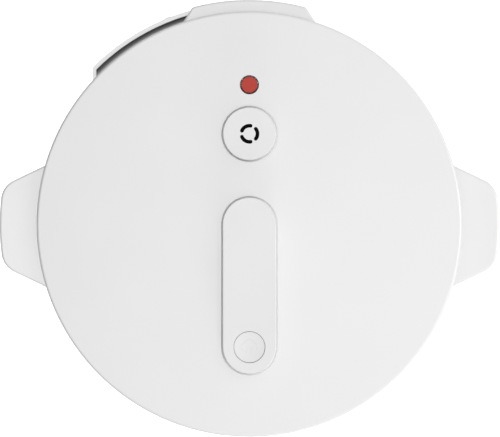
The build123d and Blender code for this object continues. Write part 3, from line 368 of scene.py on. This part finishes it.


# near-black: painted shade, seen through the valve cap's slots
MATERIALS["painted_shade_black"] = moulded_plastic(
    "painted_shade_black", (0.003, 0.003, 0.003), rough=0.8, grain=0.3, gloss=0.1, mottle=0.2)
MATERIALS["printed_mark"] = moulded_plastic("printed_mark", (0.6, 0.6, 0.61), rough=0.5, grain=0.1)
MATERIALS["display_light"] = glowing("display_light", (0.75, 0.92, 1.0), power=7.0)
MATERIALS["drip_liner"] = drip_liner("drip_liner")
MATERIALS["lid_plastic"] = moulded_plastic("lid_plastic", WHITE, rough=0.42, bounce=0.4)
MATERIALS["fitting_plastic"] = moulded_plastic("fitting_plastic", FITTING_WHITE, rough=0.42, bounce=0.45)
MATERIALS["float_painted_shade"] = float_painted_shade("float_painted_shade")

# CAD nodes with a material of their own in place of their slot's
SPECIAL = {"upper_ring": "drip_liner", "lid_cover": "lid_plastic", "float_pin": "float_painted_shade"}
for fitting in ("handle", "release_button", "valve_cap", "lid_ring"):
    SPECIAL[fitting] = "fitting_plastic"


def dress_cad_nodes():
    """Every CAD node takes the material of its slot in the record, or its own where it has one."""
    for row in frame["record"]["subparts"]:
        node = NODES[row["node"]]
        node.data.materials.clear()
        node.data.materials.append(MATERIALS[SPECIAL.get(row["node"], row["material_slot"])])


# ---------------------------------------------------------------------------------------- mesh helpers
def add_piece(name, bm, body, material):
    """A finished mesh as a named piece that rides on a body."""
    bmesh.ops.recalc_face_normals(bm, faces=bm.faces)
    data = bpy.data.meshes.new(name)
    bm.to_mesh(data)
    bm.free()
    data.shade_smooth()
    data.set_sharp_from_angle(angle=math.radians(35))
    data.materials.append(MATERIALS[material])
    made = bpy.data.objects.new(name, data)
    bpy.context.scene.collection.objects.link(made)
    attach(made, body)
    return made


BORE_R = 110 * MM
BORE_BEARING = math.radians(200)
RIDGE_PROFILE = ((-0.5, -1.0), (-0.42, 0.55), (0.0, 1.0), (0.42, 0.55), (0.5, -1.0))


class Face:
    """The surface of a CAD node, seen along a direction, as something that marks can be laid on."""

    def __init__(self, node, view):
        self.node, self.view = NODES[node], view

    def at(self, u, v, height):
        """The point that stands height above the surface at plan position u, v (metres)."""
        if self.view == "top":
            start, towards = Vector((u, v, 1.0)), Vector((0, 0, -1))
        elif self.view == "front":
            start, towards = Vector((u, -1.0, v)), Vector((0, 1, 0))
        else:  # "bore": u is an arc length along the wall at radius BORE_R
            bearing = BORE_BEARING + u / BORE_R
            start, towards = Vector((0, 0, v)), Vector((math.cos(bearing), math.sin(bearing), 0))
        hit, place, _normal, _index = self.node.ray_cast(start, towards)
        if not hit:
            raise RuntimeError(f"no surface of {self.node.name} under {u}, {v}")
        return place - towards * height


def resample(path, step, closed):
    """Points along a path, corners kept, no further apart than step."""
    points = []
    corners = path + path[:1] if closed else path
    for (x0, y0), (x1, y1) in zip(corners, corners[1:]):
        count = max(1, math.ceil(math.hypot(x1 - x0, y1 - y0) / step))
        points += [(x0 + (x1 - x0) * i / count, y0 + (y1 - y0) * i / count) for i in range(count)]
    return points if closed else points + [corners[-1]]


def add_sweep(bm, rows, closed):
    """Joins rows of points, each the outline of one cross-section, into a ring or into a capped length."""
    rings = [[bm.verts.new(point) for point in row] for row in rows]
    following = rings[1:] + rings[:1] if closed else rings[1:]
    for one, two in zip(rings, following):
        for k in range(len(one)):
            bm.faces.new((one[k], one[(k + 1) % len(one)], two[(k + 1) % len(one)], two[k]))
    if not closed:
        bm.faces.new(rings[0])
        bm.faces.new(rings[-1])


def add_ridge(bm, face, path, width, height, closed=False, step=0.8):
    """A low rounded ridge along a path, laid on a face. Path, width, height and step are in millimetres."""
    points = resample(path, step, closed)
    count = len(points)
    rows = []
    for i, (x, y) in enumerate(points):
        before = points[i - 1] if (i or closed) else points[i]
        after = points[(i + 1) % count] if (i < count - 1 or closed) else points[i]
        dx, dy = after[0] - before[0], after[1] - before[1]
        length = math.hypot(dx, dy) or 1.0
        nx, ny = -dy / length, dx / length
        row = []
        for across, up in RIDGE_PROFILE:
            u, v = (x + nx * across * width) * MM, (y + ny * across * width) * MM
            row.append(face.at(u, v, up * height * MM))
        rows.append(row)
    add_sweep(bm, rows, closed)


def arc(x, y, radius, start, end, steps=14):
    """Points on an arc between two bearings in degrees."""
    angles = [math.radians(start + (end - start) * i / steps) for i in range(steps + 1)]
    return [(x + radius * math.cos(a), y + radius * math.sin(a)) for a in angles]


# -------------------------------------------------------------------------------------- marks and trim
def make_button_relief():
    """A faint cloud with two wisps of steam, raised on the release button."""
    face = Face("release_button", "top")
    middle = centre("release_button") / MM
    x, y = middle.x, middle.y + 0.2
    side_x, side_r = 3.2, 2.3  # the cloud's two side lobes
    top_rise, top_r = 2.2, 2.6  # and the one on top
    wisp_x, sway, fall = 1.3, 0.5, 0.55
    bm = bmesh.new()
    cloud = arc(x - side_x, y, side_r, 250, 105) + arc(x, y + top_rise, top_r, 155, 25)
    cloud += arc(x + side_x, y, side_r, 75, -70)
    add_ridge(bm, face, cloud, width=0.55, height=0.1, step=0.5)
    for left in (x - wisp_x, x + wisp_x):
        wisp = [(left + sway * math.sin(i * 0.9), y - fall * i) for i in range(8)]
        add_ridge(bm, face, wisp, width=0.5, height=0.08, step=0.5)
    add_piece("button_relief", bm, "button", "white_plastic")


def make_steam_diffuser():
    """The pressed-wire puck under the cap's slots: radial pleats, near-black as painted shade in the slots.
    """
    _low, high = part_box("valve_cap")
    middle = centre("valve_cap")
    pleats, per_pleat = 48, 4
    inner, outer = 3.6 * MM, 8.4 * MM
    top, thick, wave = high.z - 2.5 * MM, 1.6 * MM, 0.25 * MM
    steps = pleats * per_pleat
    rows = []
    for i in range(steps):
        a = 2 * math.pi * i / steps
        crest, bottom = top - wave + wave * math.sin(a * pleats), top - thick
        profile = ((inner, crest), (outer, crest), (outer, bottom), (inner, bottom))
        rows.append([(middle.x + r * math.cos(a), middle.y + r * math.sin(a), z) for r, z in profile])
    bm = bmesh.new()
    add_sweep(bm, rows, closed=True)
    add_piece("steam_diffuser", bm, "valve", "painted_shade_black")


def add_gap_shade_ring(name, around, on, inner, outer, below, depth, corner):
    """A black rubber ring set in the gap round a moving part, as painted shade of the gap. Lengths are in
    millimetres.

    Its top stays the same distance below the surface beside the hole, so it follows the dome.
    """
    face, middle = Face(on, "top"), centre(around) / MM
    beside, steps = outer + 0.35, 96
    rows = []
    for i in range(steps):
        a = 2 * math.pi * i / steps
        x, y = math.cos(a), math.sin(a)
        surface = face.at((middle.x + beside * x) * MM, (middle.y + beside * y) * MM, 0.0)
        top = surface.z / MM - below
        shoulder, bottom = top - corner, top - depth
        profile = ((inner, shoulder), (inner + corner, top), (outer - corner, top))
        profile += ((outer, shoulder), (outer, bottom), (inner, bottom))
        rows.append([Vector((middle.x + r * x, middle.y + r * y, z)) * MM for r, z in profile])
    bm = bmesh.new()
    add_sweep(bm, rows, closed=True)
    # painted shade: the black ring fills the gap just under the surface, where the gap would be in shadow
    add_piece(name, bm, "lid", "black_rubber")


def make_gap_shade_rings():
    """Black rubber rings in the gaps round the float pin and round the release button, as painted shade of
    the gaps.
    """
    add_gap_shade_ring(
        "float_gap_shade", "float_pin", "lid_cover",
        inner=5.72, outer=6.25, below=0.12, depth=2.6, corner=0.15,
    )
    add_gap_shade_ring(
        "button_gap_shade", "release_button", "handle",
        inner=10.13, outer=10.32, below=0.45, depth=1.5, corner=0.04,
    )


def make_knob_trim():
    """Fine grip ribs round the dial's side, and a pointer on its face."""
    ribs, per_rib = 60, 6
    low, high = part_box("control_knob")
    middle, radius = centre("control_knob"), (high.x - low.x) / 2
    front, back, depth = low.y + 1.9 * MM, high.y - 0.7 * MM, 0.32 * MM
    inner = radius - 0.4 * MM
    steps = ribs * per_rib
    rows = []
    for i in range(steps):
        a = 2 * math.pi * i / steps
        crest = radius + depth * abs(math.sin(math.pi * i / per_rib))
        profile = ((inner, front), (radius, front), (crest, front + depth))
        profile += ((crest, back - depth), (radius, back), (inner, back))
        rows.append([(middle.x + r * math.cos(a), y, middle.z + r * math.sin(a)) for r, y in profile])
    bm = bmesh.new()
    add_sweep(bm, rows, closed=True)
    add_piece("knob_grip", bm, "knob", "steel")
    bm = bmesh.new()
    pointer = [(0, middle.z / MM + reach) for reach in (9.5, 16.5)]
    add_ridge(bm, Face("control_knob", "front"), pointer, width=1.3, height=0.12)
    add_piece("knob_pointer", bm, "knob", "black_gloss")


def make_panel_marks():
    """Graduations over three quarters of a turn round the dial, longer at the ends and in the middle."""
    face, z = Face("control_panel", "front"), centre("control_knob").z / MM
    first, span, marks, long_every = 225, 270, 13, 6
    near, far, far_long = 23.7, 25.2, 26.4
    bm = bmesh.new()
    for i in range(marks):
        a = math.radians(first - span * i / (marks - 1))
        reach = far if i % long_every else far_long
        ends = [(r * math.cos(a), z + r * math.sin(a)) for r in (near, reach)]
        add_ridge(bm, face, ends, width=0.45, height=0.06)
    add_piece("dial_marks", bm, "base", "printed_mark")


SEGMENTS = {  # a digit's strokes, in a cell that is one wide and two high
    "a": ((0, 2), (1, 2)), "b": ((1, 2), (1, 1)), "c": ((1, 1), (1, 0)), "d": ((0, 0), (1, 0)),
    "e": ((0, 1), (0, 0)), "f": ((0, 2), (0, 1)), "g": ((0, 1), (1, 1)),
}
DIGITS = {"0": "abcdef", "2": "abged", "5": "afgcd"}


def make_display():
    """Lit seven-segment digits of a timer, a colon and a row of level bars, on the display module."""
    face, middle = Face("display_module", "front"), centre("display_module") / MM
    cell, gap, pitch, colon_room = 4.2, 0.45, 6.9, 2.0
    stroke, bar_width, height = 0.8, 0.7, 0.08
    dot, dot_rise = 0.4, 1.4
    bars, bar_length, bar_pitch = 5, 2.8, 4.2
    digits_z, bars_z = middle.z + 1.6, middle.z - 6.2
    bm = bmesh.new()
    left = middle.x - 1.5 * pitch - cell / 2 - colon_room / 2
    for i, digit in enumerate("0025"):
        x, z = left + i * pitch + (colon_room if i > 1 else 0.0), digits_z - cell
        for name in DIGITS[digit]:
            (u0, v0), (u1, v1) = SEGMENTS[name]
            du, dv = (u1 - u0) * gap, (v1 - v0) * gap
            ends = [(x + u0 * cell + du, z + v0 * cell + dv), (x + u1 * cell - du, z + v1 * cell - dv)]
            add_ridge(bm, face, ends, stroke, height)
    for z in (digits_z - dot_rise, digits_z + dot_rise):
        add_ridge(bm, face, [(middle.x - dot, z), (middle.x + dot, z)], stroke, height)
    for i in range(bars):
        x = middle.x - 10 + bar_pitch * i
        add_ridge(bm, face, [(x, bars_z), (x + bar_length, bars_z)], bar_width, height)
    add_piece("display_digits", bm, "base", "display_light")


def make_key_icons():
    """A triangle on the start key and a cross on the cancel key."""
    start, cancel = centre("start_key") / MM, centre("cancel_key") / MM
    point, back, half_side, arm = 2.3, 1.4, 2.2, 1.8
    width, height = 0.6, 0.1
    bm = bmesh.new()
    corners = [(start.x + point, start.z)]
    corners += [(start.x - back, start.z + side * half_side) for side in (1, -1)]
    add_ridge(bm, Face("start_key", "front"), corners, width, height, closed=True)
    add_piece("start_icon", bm, "start", "dark_plastic")
    bm = bmesh.new()
    for side in (-1, 1):
        ends = [(cancel.x - arm * side, cancel.z - arm), (cancel.x + arm * side, cancel.z + arm)]
        add_ridge(bm, Face("cancel_key", "front"), ends, width, height)
    add_piece("cancel_icon", bm, "cancel", "dark_plastic")


def make_level_marks():
    """Filling marks on the inner pot's wall: a rule with a long tick at every second step."""
    face = Face("inner_pot", "bore")
    low, _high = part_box("inner_pot")
    bottom, pitch, ticks = low.z / MM + 18, 12.0, 9
    long_tick, short_tick = 14.0, 7.0
    width, height = 0.6, 0.08
    bm = bmesh.new()
    add_ridge(bm, face, [(0, bottom), (0, bottom + pitch * (ticks - 1))], width, height, step=4)
    for i in range(ticks):
        z, reach = bottom + pitch * i, short_tick if i % 2 else long_tick
        add_ridge(bm, face, [(0.3, z), (reach, z)], width, height, step=1.5)
    add_piece("pot_level_marks", bm, "inner_pot", "printed_mark")


# --------------------------------------------------------------------------------------------- springs
ALONG_Y, ALONG_Z = 1, 2


def make_spring(name, node, body, axis, wire, turns):
    """A coil of wire, wire being its radius, that takes a CAD spring's place."""
    low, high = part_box(node)
    foot, full = low[axis], high[axis] - low[axis]
    middle, radius = (low + high) / 2, (high.x - low.x) / 2 - wire
    steps, sides, ease = turns * 36, 10, 0.35
    rows = []
    for i in range(steps + 1):
        along = i / steps
        a = 2 * math.pi * turns * along
        # the pitch is a little finer at the two ends
        eased = along - ease / (math.pi * turns) * math.sin(2 * math.pi * along)
        climb = foot + wire + eased * (full - 2 * wire)
        row = []
        for k in range(sides):
            round_wire = 2 * math.pi * k / sides
            reach, up = radius + wire * math.cos(round_wire), climb + wire * math.sin(round_wire)
            x, y = reach * math.cos(a), reach * math.sin(a)
            if axis == ALONG_Z:
                row.append((middle.x + x, middle.y + y, up))
            else:
                row.append((middle.x + x, up, middle.z - y))
        rows.append(row)
    bm = bmesh.new()
    add_sweep(bm, rows, closed=False)
    coil = add_piece(name, bm, body, "spring_steel")
    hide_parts(node)
    direction, anchor = Vector((0, 0, 0)), Vector(middle)
    direction[axis] = 1
    anchor[axis] = foot
    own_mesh(coil)


def make_springs():
    """The three springs that moving parts press on."""
    rows = (  # piece, CAD node, joint, body, axis, wire radius, turns
        ("release_spring", "button_spring", "button_press", "lid", ALONG_Z, 0.5 * MM, 6),
        ("rod_spring", "lock_spring", "lock_slide", "lid", ALONG_Y, 0.4 * MM, 5),
        ("probe_spring", "sensor_spring", "sensor_press", "base", ALONG_Z, 0.6 * MM, 6),
    )
    for name, node, joint, body, axis, wire, turns in rows:
        make_spring(name, node, body, axis, wire, turns)


# ---------------------------------------------------------------------------------------------- wiring
WIRES = {  # corner points in millimetres, from one terminal to the other
    "wire_inlet_live": ("wire_brown", [
        (66, 92, 44.5), (60, 84, 30), (40, 88, 19), (0, 78, 18), (-40, 46, 19), (-56, 28, 15)]),
    "wire_inlet_neutral": ("wire_blue", [
        (70, 89, 44.5), (64, 80, 28), (42, 83, 17), (2, 72, 17), (-38, 42, 17), (-62, 26, 15)]),
    "wire_heater_a": ("wire_brown", [
        (-14, -60.4, 24), (-20, -58, 18), (-38, -46, 17), (-52, -24, 15)]),
    "wire_heater_b": ("wire_blue", [
        (14, -60.4, 24), (10, -66, 18), (-34, -56, 17), (-60, -26, 15)]),
    "wire_fuse": ("wire_white", [
        (-15.5, 40, 26.5), (-24, 38, 24), (-40, 30, 19), (-50, 18, 14)]),
    "wire_switch_a": ("wire_white", [
        (40, 15, 20), (34, -8, 17), (14, -28, 14.5), (-20, -26, 14.5), (-44, -14, 14)]),
    "wire_switch_b": ("wire_black", [
        (50, 15, 20), (40, -12, 16), (16, -33, 14.5), (-22, -31, 14.5), (-48, -18, 14)]),
    "wire_reed_a": ("wire_white", [
        (14, 122.6, 176), (14, 121.8, 165), (14, 121.8, 60), (12, 112, 24),
        (-20, 84, 16), (-60, 40, 17), (-70, 28, 14)]),
    "wire_reed_b": ("wire_black", [
        (18, 122, 176), (18, 121.3, 165), (18, 121.3, 60), (15, 110, 22),
        (-18, 80, 15.5), (-62, 36, 16), (-74, 26, 14)]),
    "wire_panel_a": ("wire_white", [
        (-78, -22, 14), (-66, -60, 18), (-30, -106, 20), (-9, -121.8, 40), (-9, -122.2, 72)]),
    "wire_panel_b": ("wire_black", [
        (-75, -24, 14), (-64, -60, 16.6), (-28, -106, 18.5), (-7, -121.8, 38), (-7, -122.2, 72)]),
    "wire_panel_c": ("wire_brown", [
        (-72, -26, 14), (-62, -60, 15.2), (-26, -106, 17), (-5, -121.8, 36), (-5, -122.2, 72)]),
}
WIRE_COLOURS = {
    "wire_brown": (0.16, 0.05, 0.02),
    "wire_blue": (0.02, 0.08, 0.4),
    "wire_white": (0.7, 0.7, 0.68),
    "wire_black": (0.02, 0.02, 0.02),
}
MAINS_WIRE_R = 0.95 * MM
SIGNAL_WIRE_R = 0.6 * MM


def make_wires():
    """Insulated wires between the boards, the inlet, the heater and the switches."""
    for material, colour in WIRE_COLOURS.items():
        MATERIALS[material] = soft_rubber(material, colour, 0.5)
    for name, (material, corners) in WIRES.items():
        curve = bpy.data.curves.new(name, "CURVE")
        curve.dimensions = "3D"
        curve.bevel_depth = MAINS_WIRE_R if "inlet" in name or "heater" in name else SIGNAL_WIRE_R
        curve.bevel_resolution = 3
        curve.resolution_u = 10
        curve.use_fill_caps = True
        spline = curve.splines.new("BEZIER")
        spline.bezier_points.add(len(corners) - 1)
        for point, corner in zip(spline.bezier_points, corners):
            point.co = Vector(corner) * MM
            point.handle_left_type = point.handle_right_type = "AUTO"
        curve.materials.append(MATERIALS[material])
        made = bpy.data.objects.new(name, curve)
        bpy.context.scene.collection.objects.link(made)
        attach(made, "base")


# ---------------------------------------------------------------------------- floor, light and camera
def make_stage():
    """A wide pale floor, seen only from above. The sky's lower half stands for the light it throws back."""
    just_below = (0, 0, -0.3 * MM)
    bpy.ops.mesh.primitive_circle_add(vertices=96, radius=6.0, fill_type="NGON", location=just_below)
    floor = bpy.context.object
    floor.name = "floor"
    floor.visible_diffuse = floor.visible_glossy = floor.visible_transmission = False
    material, look = new_material("floor_paper")
    look.set("Base Color", look.shade((0.93, 0.93, 0.93), look.noise(3.0, 3.0), 0.008))
    look.set("Roughness", 0.9)
    look.set("Emission Color", (1, 1, 1, 1))
    look.set("Emission Strength", 0.55)
    look.set("Alpha", look.math("SUBTRACT", 1.0, look.node("ShaderNodeNewGeometry").outputs["Backfacing"]))
    look.set("Normal", look.bump(look.noise(700.0, 3.0), 0.05, 0.05 * MM))
    floor.data.materials.append(material)


def area_light(name, place, aim, size, power):
    """A round softbox at a place, turned towards a point."""
    light = bpy.data.lights.new(name, "AREA")
    light.shape, light.size, light.energy = "DISK", size, power
    made = bpy.data.objects.new(name, light)
    made.location = place
    made.rotation_euler = (Vector(aim) - Vector(place)).to_track_quat("-Z", "Y").to_euler()
    bpy.context.scene.collection.objects.link(made)


def even_light(name, tilt, power):
    """A shadowless light, leaning to the right of straight overhead by a tilt in degrees."""
    lean = math.radians(tilt)
    towards = Vector((math.sin(lean), 0, math.cos(lean)))
    light = bpy.data.lights.new(name, "SUN")
    light.energy, light.angle, light.use_shadow = power, math.radians(8), False
    made = bpy.data.objects.new(name, light)
    made.location = towards * 3
    made.rotation_euler = (-towards).to_track_quat("-Z", "Y").to_euler()
    bpy.context.scene.collection.objects.link(made)


def make_light():
    """An overhead softbox, a low front fill, two shadowless lights, and a dim sky that is seen as white."""
    above, below = 0.2, 0.75  # the sky's strength over and under the horizon
    reflected, seen = 0.25, 0.85  # what it gains in reflections and in the camera's own view
    area_light("softbox", place=(0.1, 0.1, 2.2), aim=(0, 0, cad_high.z), size=1.2, power=4.6)
    area_light("front_fill", place=(0.35, -2.2, 0.6), aim=(0, 0, 0.12), size=1.0, power=13.5)
    even_light("edge_light", tilt=40, power=2.2)  # it shades edges that face left and leaves the tops even
    even_light("top_light", tilt=0, power=0.28)  # it keeps the lid's shadow on the ears faint
    world = bpy.data.worlds.new("studio")
    bpy.context.scene.world = world
    world.use_nodes = True
    tree = world.node_tree
    sky = tree.nodes["Background"]
    sky.inputs["Color"].default_value = (1, 1, 1, 1)
    rays = tree.nodes.new("ShaderNodeLightPath")
    place = tree.nodes.new("ShaderNodeTexCoord")
    split = tree.nodes.new("ShaderNodeSeparateXYZ")
    tree.links.new(place.outputs["Generated"], split.inputs[0])
    horizon = tree.nodes.new("ShaderNodeMapRange")
    for name, value in (("From Min", -0.15), ("From Max", 0.05), ("To Min", below), ("To Max", above)):
        horizon.inputs[name].default_value = value
    tree.links.new(split.outputs["Z"], horizon.inputs["Value"])
    strength = horizon.outputs["Result"]
    for source, weight in (("Is Glossy Ray", reflected), ("Is Camera Ray", seen)):
        add = tree.nodes.new("ShaderNodeMath")
        add.operation = "MULTIPLY_ADD"
        tree.links.new(rays.outputs[source], add.inputs[0])
        add.inputs[1].default_value = weight
        tree.links.new(strength, add.inputs[2])
        strength = add.outputs[0]
    tree.links.new(strength, sky.inputs["Strength"])


def make_camera():
    """Straight down over the lid, from far enough to show almost no perspective."""
    away = 12.0
    view_width, true_scale_z = 329.4 * MM, 220 * MM  # the picture shows this width at this height
    shift_x, shift_y = 0.4 * MM, -0.1 * MM  # how far its middle is from the middle of the cooker's box
    camera = bpy.data.cameras.new("camera")
    camera.lens = camera.sensor_width * away / view_width
    made = bpy.data.objects.new("camera", camera)
    middle = (cad_low + cad_high) / 2
    made.location = (middle.x + shift_x, middle.y + shift_y, true_scale_z + away)
    camera.clip_start, camera.clip_end = 1.0, 100.0
    bpy.context.scene.collection.objects.link(made)
    bpy.context.scene.camera = made


def set_colour_management():
    """Colours go to the picture as they are, with no film curve over them."""
    view = bpy.context.scene.view_settings
    view.view_transform = "Standard"
    view.look = "None"
    view.exposure = 0.0


dress_cad_nodes()
make_button_relief()
make_steam_diffuser()
make_gap_shade_rings()
make_knob_trim()
make_panel_marks()
make_display()
make_key_icons()
make_level_marks()
make_springs()
make_wires()
make_stage()
make_light()
make_camera()
set_colour_management()
